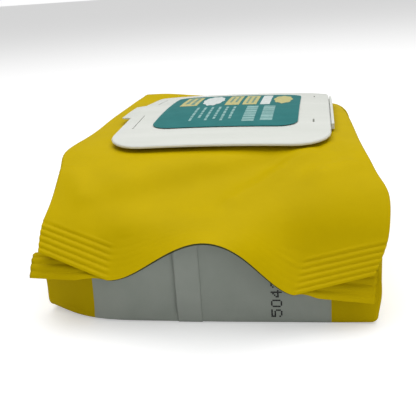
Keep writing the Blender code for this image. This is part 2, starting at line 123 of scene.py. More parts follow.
BOTTOM_PANEL = (
    (
        (-92, 18.2), (-94.2, 19), (-98, 19.8), (-100.5, 26.3), (-103, 34.7),
        (-102, 29.1), (-98, 14.5), (-94.5, 11.5), (-93, 9.7),
    ),
    (
        (-84, 24), (-86.3, 27), (-89.2, 30.4), (-90.2, 33.4), (-90.7, 36.6),
        (-90.7, 33.4), (-90.2, 25.4), (-88.2, 22), (-87, 20),
    ),
    (
        (-81, 15), (-85, 18), (-87.5, 21), (-88.4, 24), (-88.5, 25.5),
        (-88.5, 23.5), (-88.5, 17), (-88, 13.5), (-87.5, 12.5),
    ),
    (
        (-81.5, 6), (-86, 5.4), (-88.4, 5), (-88.8, 5.4), (-89, 5.6),
        (-89, 5.4), (-89, 5), (-88.8, 4.6), (-88.4, 4.2),
    ),
    (
        (-79.5, 1.8), (-86, 1), (-88, 0.5), (-88.4, 0.4), (-88.5, 0.4),
        (-88.5, 0.4), (-88.5, 0.4), (-88.4, 0.4), (-88, 0.4),
    ),
    (
        (-70, 0.5), (-75, 0.3), (-77, 0.3), (-78, 0.3), (-78, 0.3),
        (-78, 0.3), (-78, 0.3), (-78, 0.3), (-78, 0.3),
    ),
    ((-60, 0.3),) * 9,
    ((-36, 0.3),) * 9,
    ((9, 0.3),) * 9,
    ((54, 0.3),) * 9,
    ((70, 0.3),) * 9,
    ((82, 0.8),) + ((83, 0.8),) * 7 + ((82, 0.8),),
    ((87, 5), (88, 6), (88, 7), (88, 7.5), (88, 8), (88, 7.5), (88, 7), (88, 6), (87, 5)),
    (
        (88, 12), (89, 15), (89, 17), (89, 18.5), (89, 19),
        (89, 18.5), (89, 17), (89, 15), (88, 12),
    ),
    (
        (90, 21), (91, 26), (91.5, 28.2), (91.5, 29.7), (91.5, 30.2),
        (92, 29.4), (92.5, 27.2), (92, 25), (91, 20),
    ),
    (
        (98, 12), (100, 15), (101, 17.3), (103, 21.4), (104, 23.3),
        (103.5, 20.4), (102, 16.3), (100.5, 14), (98, 11),
    ),
)
# How far each panel's edges reach in x at the stations, and the radii of its rounded edges.
TOP_LEFT = (
    -57, -57, -56.1, -56, -56.6, -58, -59.2, -59.6,
    -59.6, -59.6, -59.4, -59, -58.5, -57, -57, -57,
)
TOP_RIGHT = (
    55.5, 60.2, 61.4, 61.4, 59, 57, 55.6, 54.7,
    52.6, 50, 48.5, 48, 51, 55, 57, 58,
)
BOTTOM_LEFT = (
    -61.4, -61.5, -61, -61.2, -61.2, -60.5, -59, -57,
    -57, -57, -57.5, -58, -59, -59, -59, -59,
)
BOTTOM_RIGHT = (
    56, 57.6, 58.6, 57.8, 57.4, 57.2, 57.2, 57,
    57, 57, 57.5, 58, 59, 60, 61, 61.5,
)
TOP_CORNER = (0.2, 0.2, 0.5, 1, 1.5, 1.5, 1.5, 2, 2, 2, 2, 2, 1.5, 0.6, 0.2, 0.2)
BOTTOM_CORNER = (0.2, 0.2, 0.6, 1.5, 2.5, 4.5, 5, 6, 6, 6, 6, 5, 3.5, 0.6, 0.2, 0.2)
# The gussets at the stations. Reach is the share of the half width where the middle of the gusset
# lies: 1 is flush with the edges, and less is tucked in. Swell and back move it out and along y.
FOLD_REACH = (0.55, 0.55, 0.93, 0.98, 1, 1, 1, 1, 1, 1, 1, 1, 0.90, 0.72, 0.55, 0.55)
FOLD_SWELL = (0, 0, 0, 0, 0.5, 2, 3, 4, 4.5, 4.5, 4, 3, 0, 0, 0, 0)
FOLD_BACK = (0, 0, 3, 6, 7, 3, 1, 0, 0, 0, -1, -3, -7, -3, 0, 0)
FOLD_ROUNDNESS = (1, 1, 1, 1.1, 1.3, 1.7, 1.9, 2, 2, 2, 2, 1.7, 1.2, 1, 1, 1)
# The fins take FIN_SHARE of the web at each end, and the layers have parted by PEELED_SHARE. The
# panels are bonded face to face as far out as BONDED_TO of the half width.
FIN_SHARE = 0.06
PEELED_SHARE = 0.10
BONDED_TO = 0.70
LIP = 0.12 * MM
FIN = 0.6 * MM
FLAP_ROOM = 0.25 * MM
LEAST_RADIUS = 0.15 * MM


def spline(knots, values, at):
    """Natural cubic spline: its second derivatives at the knots solve a tridiagonal system, and
    between two knots it is the cubic with those end values and end second derivatives."""
    knots = np.asarray(knots, float)
    values = np.asarray(values, float)
    gaps = np.diff(knots)
    bends = np.zeros((len(knots), len(knots)))
    bends[0, 0] = bends[-1, -1] = 1
    inner = np.arange(1, len(knots) - 1)
    bends[inner, inner - 1] = gaps[:-1]
    bends[inner, inner] = 2 * (gaps[:-1] + gaps[1:])
    bends[inner, inner + 1] = gaps[1:]
    flat = values.reshape(len(knots), -1)
    slopes = np.diff(flat, axis=0) / gaps[:, None]
    asked = np.zeros_like(flat)
    asked[1:-1] = 6 * np.diff(slopes, axis=0)
    second = np.linalg.solve(bends, asked)
    place = np.clip(np.searchsorted(knots, at, side="right") - 1, 0, len(gaps) - 1)
    gap = gaps[place][:, None]
    b = ((at - knots[place]) / gaps[place])[:, None]
    a = 1 - b
    curve = a * flat[place] + b * flat[place + 1]
    curve += ((a**3 - a) * second[place] + (b**3 - b) * second[place + 1]) * gap**2 / 6
    return curve.reshape((len(at),) + values.shape[1:])


def straight_between(knots, values, at):
    """Values joined by straight lines."""
    return np.interp(at, knots, values)


def normals_of(grid):
    """Unit normals of a (row, column, xyz) grid, on the side that faces up on a flat panel."""
    across = np.gradient(grid, axis=1)
    along = np.gradient(grid, axis=0)
    normals = np.cross(across, along)
    return normals / np.maximum(np.linalg.norm(normals, axis=2, keepdims=True), 1e-12)


def pressed_flat(at):
    """1 in the fins, where the gussets lie against the panels, falling smoothly to 0 past them."""
    from_end = np.minimum(at, 1 - at)
    share = np.clip((PEELED_SHARE - from_end) / (PEELED_SHARE - FIN_SHARE), 0, 1)
    return share * share * (3 - 2 * share)


def bell(distance, width):
    """A bell curve of distance, 1 at 0 and e^-1 at the width."""
    return np.exp(-((distance / width) ** 2))


def distance_to_line(points, start, end):
    """Distance of every point of a grid from the straight line between two points."""
    start, end = np.array(start) * MM, np.array(end) * MM
    run = end - start
    share = np.clip(((points - start) @ run) / (run @ run), 0, 1)
    return np.linalg.norm(points - start - share[..., None] * run, axis=-1)


RIB_PITCH = 2.3 * MM
RIB_HEIGHT = 0.42 * MM
FIN_LENGTH = 13.2 * MM
RIB_FADE_IN = 0.6 * MM
RIB_FADE_OUT = 0.8 * MM
RIB_MIDDLE = 0.6
FAINT_SHARE = 0.10


def crimp_ribs(from_edge, gusseted, phase):
    """Height of the ribs that the jaws press into a fin: |sin(pi (d / pitch + phase))|, which is
    rounded ridges with narrow grooves, deep where there are four layers of film and faint where
    there are two. They fade out at both sides of the fin."""
    wave = np.abs(np.sin(np.pi * (from_edge / RIB_PITCH + phase)))
    band = np.clip((FIN_LENGTH - from_edge) / RIB_FADE_IN, 0, 1)
    band = band * np.clip(from_edge / RIB_FADE_OUT, 0, 1)
    deep = FAINT_SHARE + (1 - FAINT_SHARE) * gusseted
    return RIB_HEIGHT * (wave - RIB_MIDDLE) * band * deep


# Folds and dents of the top panel: (start, end, width, height), in millimetres.
TOP_FEATURES = (
    ((-29, -89.5, 31.5), (-23, -90, 33), 0.6, -0.22),
    ((36, -90.5, 26.5), (24, -90.5, 29.5), 0.6, -0.22),
    ((24, -92, 27), (30, -93, 24), 0.8, 0.25),
    ((28, -93, 26), (33, -94, 22), 0.8, 0.25),
    ((34, -54, 49.8), (10, -77, 40.5), 4.5, 1.5),
    ((20, -57, 49), (-30, -77, 41), 7.0, -1.4),
    ((48, -64, 48), (40, -68, 46.5), 5.0, 1.2),
    ((-50, -66, 48.2), (-44, -76, 43), 4.5, 0.8),
    ((-57, -62, 50), (-50, -62, 49.5), 0.6, -0.3),
    ((-57, -66, 48.5), (-53, -64, 49), 0.5, -0.25),
    ((45, -48, 51), (38, -53, 50), 0.8, -0.3),
    ((40, -47, 51), (33, -50, 51), 0.7, -0.25),
    ((-2, -58, 49.5), (24, -62, 47), 3.5, 0.25),
)
BOTTOM_FEATURES = (
    ((-4, -89.5, 31), (9, -89.5, 30), 0.7, -0.35),
    ((6, -89.5, 30), (2, -89.5, 33), 0.6, 0.3),
    ((-9, -89, 27), (3, -89, 29), 0.8, 0.2),
)

near_fin = np.linspace(0, FIN_SHARE, 52, endpoint=False)
near_end = np.linspace(FIN_SHARE, 0.27, 56, endpoint=False)
middle_part = np.linspace(0.27, 0.74, 40, endpoint=False)
far_end = np.linspace(0.74, 1 - FIN_SHARE, 34, endpoint=False)
far_fin = np.linspace(1 - FIN_SHARE, 1, 30)
stations = np.concatenate([near_fin, near_end, middle_part, far_end, far_fin])

# The gussets reach 27 of the 120 steps of a panel into the fins, and have a column at each step.
TOP_COLUMNS = 121
TUCK_STEPS = 27
SIDE_COLUMNS = 2 * TUCK_STEPS - 1
CORNER_COLUMNS = 6


def panel(table, lefts, rights, corners, places, under=None):
    """The flat of one panel of the web as a grid of points, and the radius of its corners. The
    splines through the table give y and z, and x runs straight from edge to edge. In the fins each
    lip runs straight from its root to its tip, and a panel given the one it lies `under` is bonded
    to it there."""
    left, right, radius = (spline(STATIONS, v, stations) * MM for v in (lefts, rights, corners))
    radius = np.maximum(radius, LEAST_RADIUS)
    rows = spline(STATIONS, np.array(table, float) * MM, stations)
    across = spline(ACROSS, rows.transpose(1, 0, 2), places).transpose(1, 0, 2)
    lip_places = np.array([-1, -FOLD_REACH[0], FOLD_REACH[0], 1])
    lips = spline(ACROSS, rows.transpose(1, 0, 2), lip_places).transpose(1, 0, 2)
    run = np.clip((abs(places) - FOLD_REACH[0]) / (1 - FOLD_REACH[0]), 0, 1)[None, :, None]
    tips = np.where(places[None, :, None] < 0, lips[:, :1], lips[:, -1:])
    roots = np.where(places[None, :, None] < 0, lips[:, 1:2], lips[:, 2:3])
    stiff = pressed_flat(stations)[:, None, None] * (run > 0)
    across = (1 - stiff) * across + stiff * (roots + run * (tips - roots))
    across[:, :, 1] = np.maximum(across[:, :, 1], FLAP_ROOM)
    share = (places[None, :] + 1) / 2
    x = (left + radius)[:, None] * (1 - share) + (right - radius)[:, None] * share
    flat = np.concatenate([x[:, :, None], across], axis=2)
    if under is not None:
        bond = np.clip((BONDED_TO - abs(places)) / (BONDED_TO - FOLD_REACH[0]), 0, 1)
        bond = bond * bond * (3 - 2 * bond)
        share = (pressed_flat(stations)[:, None] * bond[None, :])[:, :, None]
        flat = share * (under - FIN * normals_of(under)) + (1 - share) * flat
    return flat, radius


def with_corners(flat, radius, rise):
    """The grid of a panel with a quarter-round arc added down each edge. `rise` is -1 where the
    corners fall below the panel, and 1 where they rise above it."""
    normals = normals_of(flat)
    angles = np.radians(np.linspace(90, 0, CORNER_COLUMNS, endpoint=False))
    edges = []
    for edge, outward in ((0, -1), (-1, 1)):
        arc = np.repeat(flat[:, edge][:, None], len(angles), axis=1)
        arc[:, :, 0] += outward * radius[:, None] * np.sin(angles)
        drop = (radius[:, None] * (1 - np.cos(angles)))[:, :, None]
        arc += rise * drop * normals[:, edge][:, None]
        edges.append(arc)
    return np.concatenate([edges[0], flat, edges[1][:, ::-1]], axis=1)


places = np.linspace(-1, 1, TOP_COLUMNS)
top_flat, top_radius = panel(TOP_PANEL, TOP_LEFT, TOP_RIGHT, TOP_CORNER, places)
low_flat, low_radius = panel(
    BOTTOM_PANEL, BOTTOM_LEFT, BOTTOM_RIGHT, BOTTOM_CORNER, places, top_flat
)

lengths = np.linalg.norm(np.diff(top_flat, axis=0), axis=2)
from_near = np.concatenate([np.zeros((1, TOP_COLUMNS)), np.cumsum(lengths, axis=0)])
from_far = from_near[-1:] - from_near
RIBS_FROM = 0.545
RIBS_FULL_IN = 0.02
gusseted = np.clip((abs(places) - RIBS_FROM) / RIBS_FULL_IN, 0, 1)[None, :]
ribs = crimp_ribs(from_near, gusseted, 0.2) + crimp_ribs(from_far, gusseted, 0.5)
ribs = ribs[:, :, None]
top_flat = top_flat + ribs * normals_of(top_flat)
low_flat = low_flat + ribs * normals_of(low_flat)
for features, grid in ((TOP_FEATURES, top_flat), (BOTTOM_FEATURES, low_flat)):
    normals = normals_of(grid)
    loose = 1 - 0.5 * pressed_flat(stations)[:, None]
    for start, end, width, height in features:
        rise = height * MM * bell(distance_to_line(grid, start, end), width * MM) * loose
        grid += rise[:, :, None] * normals

top = with_corners(top_flat, top_radius, -1)
low = with_corners(low_flat, low_radius, 1)

reach = np.clip(spline(STATIONS, FOLD_REACH, stations), 0, 1)
reach = np.where(np.minimum(stations, 1 - stations) <= FIN_SHARE, FOLD_REACH[0], reach)
swell = straight_between(STATIONS, FOLD_SWELL, stations) * MM
back = spline(STATIONS, FOLD_BACK, stations) * MM * (1 - pressed_flat(stations))
roundness = straight_between(STATIONS, FOLD_ROUNDNESS, stations)


def row_interp(grid, wanted):
    """Each row of a panel's grid read off at its own wanted places, by straight lines."""
    position = (wanted + 1) / 2 * (TOP_COLUMNS - 1)
    first = np.clip(np.floor(position).astype(int), 0, TOP_COLUMNS - 2)
    share = (position - first)[..., None]
    rows = np.arange(len(grid))[:, None]
    return grid[rows, first] * (1 - share) + grid[rows, first + 1] * share


def gusset(side, top_edge, low_edge):
    """One side of the web from the top panel's corner to the bottom panel's, as a grid. In the body
    it is a line between the corners pushed out or in by 1 - |2s - 1|^p, which is a sharp fold at
    p 1 and a round swelling at p 2. In the fins it lies just inside the two panels."""
    shares = np.linspace(0, 1, SIDE_COLUMNS + 2)[1:-1][None, :]
    at = side * reach[:, None]
    fold = (row_interp(top_flat, at) + row_interp(low_flat, at))[:, 0] / 2
    fold[:, 0] += side * swell
    fold[:, 1] += back
    push = 1 - abs(2 * shares - 1) ** roundness[:, None]
    line = top_edge[:, None] * (1 - shares[..., None]) + low_edge[:, None] * shares[..., None]
    free = line + push[..., None] * (fold - (top_edge + low_edge) / 2)[:, None]
    wanted = side * (1 - np.minimum(shares, 1 - shares) * 2 * (1 - FOLD_REACH[0]))
    wanted = np.repeat(wanted, len(stations), axis=0)
    upper = row_interp(top_flat - LIP * normals_of(top_flat), wanted)
    lower = row_interp(low_flat + LIP * normals_of(low_flat), wanted)
    lined = np.where(shares[..., None] <= 0.5, upper, lower)
    share = pressed_flat(stations)[:, None, None]
    return share * lined + (1 - share) * free


right_side = gusset(1, top[:, -1], low[:, -1])
left_side = gusset(-1, top[:, 0], low[:, 0])
web = np.concatenate([top, right_side, low[:, ::-1], left_side[:, ::-1]], axis=1)


def grid_faces(rows, columns, closed_across=True):
    """Quads of a grid of points, joined round into a tube where it is closed across."""
    index = np.arange(rows * columns).reshape(rows, columns)
    if closed_across:
        index = np.concatenate([index, index[:, :1]], axis=1)
    quads = np.stack([index[:-1, :-1], index[:-1, 1:], index[1:, 1:], index[1:, :-1]], axis=-1)
    return quads.reshape(-1, 4)


def make_object(name, points, faces, materials=(), uv=None):
    """An object at the origin from arrays of points and of faces that all have as many corners,
    smooth-shaded, with a UV map given for each point."""
    mesh = bpy.data.meshes.new(name)
    mesh.vertices.add(len(points))
    mesh.vertices.foreach_set("co", np.asarray(points, np.float32).ravel())
    faces = np.asarray(faces, np.int32)
    mesh.loops.add(faces.size)
    mesh.loops.foreach_set("vertex_index", faces.ravel())
    mesh.polygons.add(len(faces))
    starts = np.arange(0, faces.size, faces.shape[1], dtype=np.int32)
    mesh.polygons.foreach_set("loop_start", starts)
    mesh.update(calc_edges=True)
    if uv is not None:
        layer = mesh.uv_layers.new(name="UVMap")
        layer.data.foreach_set("uv", np.asarray(uv, np.float32)[faces.ravel()].ravel())
    mesh.shade_smooth()
    for material in materials:
        mesh.materials.append(material)
    made = bpy.data.objects.new(name, mesh)
    bpy.context.scene.collection.objects.link(made)
    return made


def new_material(name):
    """An empty material with its Principled shader, as (material, nodes, links, shader)."""
    material = bpy.data.materials.new(name)
    material.use_nodes = True
    tree = material.node_tree
    return material, tree.nodes, tree.links, tree.nodes["Principled BSDF"]


def crinkle_group():
    """Small creases and grain for soft film and paper: two sizes of noise make one bump. It only
    gives a normal."""
    group = bpy.data.node_groups.new("crinkle", "ShaderNodeTree")
    face = group.interface
    face.new_socket("Vector", in_out="INPUT", socket_type="NodeSocketVector")
    face.new_socket("Scale", in_out="INPUT", socket_type="NodeSocketFloat")
    face.new_socket("Depth", in_out="INPUT", socket_type="NodeSocketFloat")
    face.new_socket("Normal", in_out="OUTPUT", socket_type="NodeSocketVector")
    nodes, links = group.nodes, group.links
    inside = nodes.new("NodeGroupInput")
    outside = nodes.new("NodeGroupOutput")
    broad = nodes.new("ShaderNodeTexNoise")
    broad.inputs["Detail"].default_value = 2
    fine = nodes.new("ShaderNodeTexNoise")
    fine.inputs["Detail"].default_value = 5
    finer = nodes.new("ShaderNodeMath")
    finer.operation = "MULTIPLY"
    finer.inputs[1].default_value = 6
    both = nodes.new("ShaderNodeMath")
    both.operation = "MULTIPLY_ADD"
    both.inputs[1].default_value = 0.25
    bump = nodes.new("ShaderNodeBump")
    bump.inputs["Strength"].default_value = 1
    links.new(inside.outputs["Vector"], broad.inputs["Vector"])
    links.new(inside.outputs["Vector"], fine.inputs["Vector"])
    links.new(inside.outputs["Scale"], broad.inputs["Scale"])
    links.new(inside.outputs["Scale"], finer.inputs[0])
    links.new(finer.outputs[0], fine.inputs["Scale"])
    links.new(fine.outputs["Fac"], both.inputs[0])
    links.new(broad.outputs["Fac"], both.inputs[2])
    links.new(both.outputs[0], bump.inputs["Height"])
    links.new(inside.outputs["Depth"], bump.inputs["Distance"])
    links.new(bump.outputs[0], outside.inputs["Normal"])
    return group


crinkle = crinkle_group()


def crinkled(nodes, links, shader, vector, scale, depth):
    """Join the shared crinkle to a shader's normal, at a scale and a depth in metres."""
    creases = nodes.new("ShaderNodeGroup")
    creases.node_tree = crinkle
    creases.inputs["Scale"].default_value = scale
    creases.inputs["Depth"].default_value = depth
    links.new(vector, creases.inputs["Vector"])
    links.new(creases.outputs["Normal"], shader.inputs["Normal"])


def clouded(nodes, links, vector, scale, first, second):
    """A colour that drifts between two colours with noise, as the output of a ramp."""
    clouds = nodes.new("ShaderNodeTexNoise")
    clouds.inputs["Scale"].default_value = scale
    clouds.inputs["Detail"].default_value = 4
    ramp = nodes.new("ShaderNodeValToRGB")
    ramp.color_ramp.elements[0].position = 0.3
    ramp.color_ramp.elements[0].color = first + (1,)
    ramp.color_ramp.elements[1].position = 0.7
    ramp.color_ramp.elements[1].color = second + (1,)
    links.new(vector, clouds.inputs["Vector"])
    links.new(clouds.outputs["Fac"], ramp.inputs[0])
    return ramp.outputs[0]


def threshold(nodes, links, value, limit, kind):
    """1 where a value is over (GREATER_THAN) or under (LESS_THAN) a limit."""
    test = nodes.new("ShaderNodeMath")
    test.operation = kind
    test.inputs[1].default_value = limit
    links.new(value, test.inputs[0])
    return test.outputs[0]


def mixed(nodes, links, share, first, second):
    """The first colour, or the second where the share is 1."""
    mix = nodes.new("ShaderNodeMix")
    mix.data_type = "RGBA"
    links.new(share, mix.inputs["Factor"])
    links.new(first, mix.inputs[6])
    links.new(second, mix.inputs[7])
    return mix.outputs[2]


# The print follows U: under 1 is the yellow, over 1 the grey back, and under -1 painted shade on
# the cut edge.
film, nodes, links, shader = new_material("printed_film_and_painted_shade")
coords = nodes.new("ShaderNodeTexCoord")
place = coords.outputs["Object"]
uv_parts = nodes.new("ShaderNodeSeparateXYZ")
links.new(coords.outputs["UV"], uv_parts.inputs[0])
print_place = uv_parts.outputs[0]
yellow = clouded(nodes, links, place, 60, (0.515, 0.374, 0.0001), (0.555, 0.403, 0.0002))
grey = clouded(nodes, links, place, 90, (0.335, 0.368, 0.325), (0.375, 0.405, 0.362))
# Painted shade: the near-black olive of the fins' cut edges stands in for the shadow in the gap
# between their layers.
edge = clouded(nodes, links, place, 300, (0.03, 0.045, 0.02), (0.09, 0.08, 0.02))
on_back = threshold(nodes, links, print_place, 1, "GREATER_THAN")
on_painted_gap_shade = threshold(nodes, links, print_place, -1, "LESS_THAN")
colour = mixed(nodes, links, on_back, yellow, grey)
colour = mixed(nodes, links, on_painted_gap_shade, colour, edge)
links.new(colour, shader.inputs["Base Color"])
shader.inputs["Roughness"].default_value = 0.5
shader.inputs["Specular IOR Level"].default_value = 0.03
crinkled(nodes, links, shader, place, 110, 0.00022)

rows, around = web.shape[:2]
GREY_MIDDLE = 0.5 * MM
GREY_HALF = 41.5 * MM
PRINT_RAMP = 10 * MM
GAP_SHADE_U = -5.0
low_start = top.shape[1] + SIDE_COLUMNS
low_x = low[:, ::-1, 0]
print_u = np.zeros((rows, around))
inside_grey = (GREY_HALF - abs(low_x - GREY_MIDDLE)) / PRINT_RAMP
print_u[:, low_start:low_start + low.shape[1]] = np.clip(1 + inside_grey, 0, 2)
uv = np.stack([print_u, np.repeat(stations[:, None], around, axis=1)], axis=-1).reshape(-1, 2)


def cut_edge_faces():
    """Quads that close a fin's free edge, as columns of the web. Where the gussets are tucked in
    they join each panel to the gusset inside it, and in between they join panel to panel."""
    steps = TOP_COLUMNS - 1
    top_last = top.shape[1] - 1
    upper = [CORNER_COLUMNS + i for i in range(TOP_COLUMNS)]
    lower = [low_start + top_last - column for column in upper]
    quads = []
    for i in range(steps):
        if TUCK_STEPS <= i < steps - TUCK_STEPS:
            quads.append((upper[i], lower[i], lower[i + 1], upper[i + 1]))
            continue
        if i < TUCK_STEPS:
            above = [(around - k) % around for k in (i, i + 1)]
            below = [low_start + top_last + k for k in (i, i + 1)]
        else:
            above = [top_last + steps - k for k in (i, i + 1)]
            below = [low_start - steps + k for k in (i, i + 1)]
        quads.append((upper[i], above[0], above[1], upper[i + 1]))
        quads.append((below[0], lower[i], lower[i + 1], below[1]))
    return np.array(quads)


caps = cut_edge_faces()
skin_points = web.reshape(-1, 3)
faces = grid_faces(rows, around)
near_cap = caps + len(skin_points)
far_cap = caps[:, ::-1] + len(skin_points) + around
skin_points = np.concatenate([skin_points, web[0], web[-1]])
# The quads that close the fins' cut edges take the painted shade colour, for the shadowed gap
# between the layers.
uv = np.concatenate([uv, np.tile([GAP_SHADE_U, 0.0], (2 * around, 1))])
faces = np.concatenate([faces, near_cap, far_cap])
wrap = make_object("film_wrap_skin", skin_points, faces, [film], uv)
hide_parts("film_wrap")
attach(wrap, "pack")

# ---------------------------------------------------------------------------------------------
# The back seam. The web's two long edges, sealed face to face into a flap that is laid flat
# against the back. It runs the whole length of the pack and ends in the two fins.
# ---------------------------------------------------------------------------------------------

SEAM_FROM = -10.5 * MM
SEAM_TO = -2.0 * MM
SEAM_COLUMNS = 18
SEAM_LIFT = 0.20 * MM
SEAM_LIFT_AT_ENDS = 1.1 * MM
SEAM_THICKNESS = 0.10 * MM
SEAM_GAP = 0.04 * MM
CLEAR_OF_GROUND = 1.5 * MM
RISES_OVER = 6 * MM
HELD_IN_FIN = 0.75
WAVINESS = 0.25 * MM
WAVES = 260
GROOVE_DEPTH = 0.05 * MM
GROOVE_PITCH = 1.1 * MM


def seam_flap():
    """Points of the flap as a tube of (row, column): its outer face from the free edge to the
    root, then back along its inner face. The lift falls from the free edge to the root, and is
    larger on the end panels, which stand clear of the ground."""
    kept = (stations > 0.004) & (stations < 0.996)
    x = np.linspace(SEAM_FROM, SEAM_TO, SEAM_COLUMNS)
    left, right = low_flat[:, :1, 0], low_flat[:, -1:, 0]
    wanted = 2 * (x[None, :] - left) / (right - left) - 1
    on_film = row_interp(low_flat, wanted)
    outward = -normals_of(on_film)
    raised = np.clip((on_film[:, :, 2] - CLEAR_OF_GROUND) / RISES_OVER, 0, 1)
    raised = raised * (1 - HELD_IN_FIN * pressed_flat(stations))[:, None]
    share = np.linspace(1, 0, SEAM_COLUMNS)[None, :] ** 0.7
    wave = WAVINESS * raised * np.sin(stations * WAVES)[:, None] * share
    lift = SEAM_LIFT + raised * share * (SEAM_LIFT_AT_ENDS - SEAM_LIFT) + wave * 0.5
    groove = GROOVE_DEPTH * np.sin(2 * np.pi * x / GROOVE_PITCH)[None, :] * raised
    outer = on_film + (lift + groove)[..., None] * outward
    inner = on_film + np.maximum(lift - SEAM_THICKNESS, SEAM_GAP)[..., None] * outward
    return np.concatenate([outer, inner[:, ::-1]], axis=1)[kept]


flap = seam_flap()
back, nodes, links, shader = new_material("back_seam_film")
place = nodes.new("ShaderNodeTexCoord").outputs["Object"]
colour = clouded(nodes, links, place, 90, (0.350, 0.382, 0.340), (0.39, 0.418, 0.376))
links.new(colour, shader.inputs["Base Color"])
shader.inputs["Roughness"].default_value = 0.5
shader.inputs["Specular IOR Level"].default_value = 0.1
crinkled(nodes, links, shader, place, 160, 0.0002)
seam_faces = grid_faces(*flap.shape[:2])[:, ::-1]
seam = make_object("back_seam", flap.reshape(-1, 3), seam_faces, [back])
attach(seam, "pack")

# ---------------------------------------------------------------------------------------------
# The date code. Plain digits of small ink dots, jetted on the near end of the back. They read
# upwards, one above the other.
# ---------------------------------------------------------------------------------------------

# Each digit as seven rows of five cells.
DIGITS = {
    "0": "01110 10001 10001 10001 10001 10001 01110",
    "1": "00100 01100 00100 00100 00100 00100 01110",
    "3": "01110 10001 00001 00110 00001 10001 01110",
    "4": "00010 00110 01010 10010 11111 00010 00010",
    "5": "11111 10000 11110 00001 00001 10001 01110",
    "6": "01110 10000 11110 10001 10001 10001 01110",
}
CODE = "5043 61"
DOT_STEP = 0.54 * MM
DOT_RADIUS = 0.32 * MM
DOT_SIDES = 8
CODE_X = 22.2 * MM
CODE_START = 3.0 * MM
CODE_SPACING = 3.5 * MM
INK_CLEARANCE = 0.06 * MM


def on_near_end(x, z):
    """A point just outside the near end of the back, at x and z."""
    ends = (stations > 0.075) & (stations < 0.24)
    left, right = low_flat[:, 0, 0], low_flat[:, -1, 0]
    column = row_interp(low_flat, (2 * (x - left) / (right - left) - 1)[:, None])[ends, 0]
    return x, np.interp(z, column[::-1, 2], column[::-1, 1]) - INK_CLEARANCE, z


def code_dots():
    """Points of the dots, a ring of DOT_SIDES for each. The digits' rows run along x and their
    columns up z."""
    turns = np.linspace(0, 2 * np.pi, DOT_SIDES, endpoint=False)
    dots = []
    for place_in_code, sign in enumerate(CODE):
        for row, cells in enumerate(DIGITS.get(sign, "").split()):
            for column, cell in enumerate(cells):
                if cell == "0":
                    continue
                x = CODE_X + row * DOT_STEP
                z = CODE_START + place_in_code * CODE_SPACING + column * DOT_STEP
                ring = zip(x + DOT_RADIUS * np.cos(turns), z + DOT_RADIUS * np.sin(turns))
                dots.append([on_near_end(*point) for point in ring])
    return np.array(dots)


dots = code_dots()
code_ink, nodes, links, shader = new_material("code_ink")
place = nodes.new("ShaderNodeTexCoord").outputs["Object"]
colour = clouded(nodes, links, place, 900, (0.006, 0.006, 0.007), (0.014, 0.014, 0.015))
links.new(colour, shader.inputs["Base Color"])
shader.inputs["Roughness"].default_value = 0.6
dot_faces = np.arange(dots.shape[0] * DOT_SIDES).reshape(-1, DOT_SIDES)
code = make_object("date_code", dots.reshape(-1, 3), dot_faces, [code_ink])
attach(code, "pack")

# ---------------------------------------------------------------------------------------------
# The wipes and the peel-off sticker. A block of folded nonwoven cloth, and a thin glossy sticker
# that closes the opening in the film under the lid.
# ---------------------------------------------------------------------------------------------

cloth, nodes, links, shader = new_material("nonwoven_wipes")
place = nodes.new("ShaderNodeTexCoord").outputs["Object"]
colour = clouded(nodes, links, place, 700, (0.78, 0.80, 0.80), (0.88, 0.89, 0.88))
links.new(colour, shader.inputs["Base Color"])
shader.inputs["Roughness"].default_value = 0.9
crinkled(nodes, links, shader, place, 500, 0.0003)
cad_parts["wipes_stack"].material_slots[0].material = cloth

sticker, nodes, links, shader = new_material("seal_sticker_film")
place = nodes.new("ShaderNodeTexCoord").outputs["Object"]
colour = clouded(nodes, links, place, 80, (0.70, 0.72, 0.73), (0.78, 0.79, 0.79))
links.new(colour, shader.inputs["Base Color"])
shader.inputs["Roughness"].default_value = 0.22
shader.inputs["Specular IOR Level"].default_value = 0.6
crinkled(nodes, links, shader, place, 90, 0.0002)
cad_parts["seal_sticker"].material_slots[0].material = sticker

# ---------------------------------------------------------------------------------------------
# The lid and its frame. Injection-moulded off-white plastic with a fine matt face and the faint
# flow streaks of the mould. The frame is bonded to the film, and the lid swings on its rail.
# ---------------------------------------------------------------------------------------------


def moulded_plastic(name, first, second):
    """Matt moulded plastic between two off-whites, drawn out into streaks along X."""
    material, nodes, links, shader = new_material(name)
    place = nodes.new("ShaderNodeTexCoord").outputs["Object"]
    stretch = nodes.new("ShaderNodeMapping")
    stretch.inputs["Scale"].default_value = (0.25, 1.6, 1)
    links.new(place, stretch.inputs["Vector"])
    colour = clouded(nodes, links, stretch.outputs[0], 70, first, second)
    links.new(colour, shader.inputs["Base Color"])
    shader.inputs["Roughness"].default_value = 0.48
    shader.inputs["Specular IOR Level"].default_value = 0.3
    crinkled(nodes, links, shader, place, 420, 0.00003)
    return material


LID_WHITE = (0.67, 0.69, 0.64), (0.72, 0.735, 0.69)
for node_name, plastic_name in (("lid_frame", "frame_plastic"), ("lid", "lid_plastic")):
    plastic = moulded_plastic(plastic_name, *LID_WHITE)
    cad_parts[node_name].material_slots[0].material = plastic

# ---------------------------------------------------------------------------------------------
# The label and its print. A satin teal sticker on the lid, printed with a row of plain badges
# behind, and columns of lettering too small to read in front. It rides on the lid.
# ---------------------------------------------------------------------------------------------

teal, nodes, links, shader = new_material("label_teal")
place = nodes.new("ShaderNodeTexCoord").outputs["Object"]
colour = clouded(nodes, links, place, 120, (0.012, 0.160, 0.160), (0.018, 0.185, 0.184))
links.new(colour, shader.inputs["Base Color"])
shader.inputs["Roughness"].default_value = 0.45
shader.inputs["Specular IOR Level"].default_value = 0.15
crinkled(nodes, links, shader, place, 260, 0.00004)
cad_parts["lid_label"].material_slots[0].material = teal

INK_HEIGHT = 0.05 * MM
OVERPRINT_HEIGHT = 0.07 * MM
INK_STEP = 2.5 * MM
OVER_THE_LID = 1.0


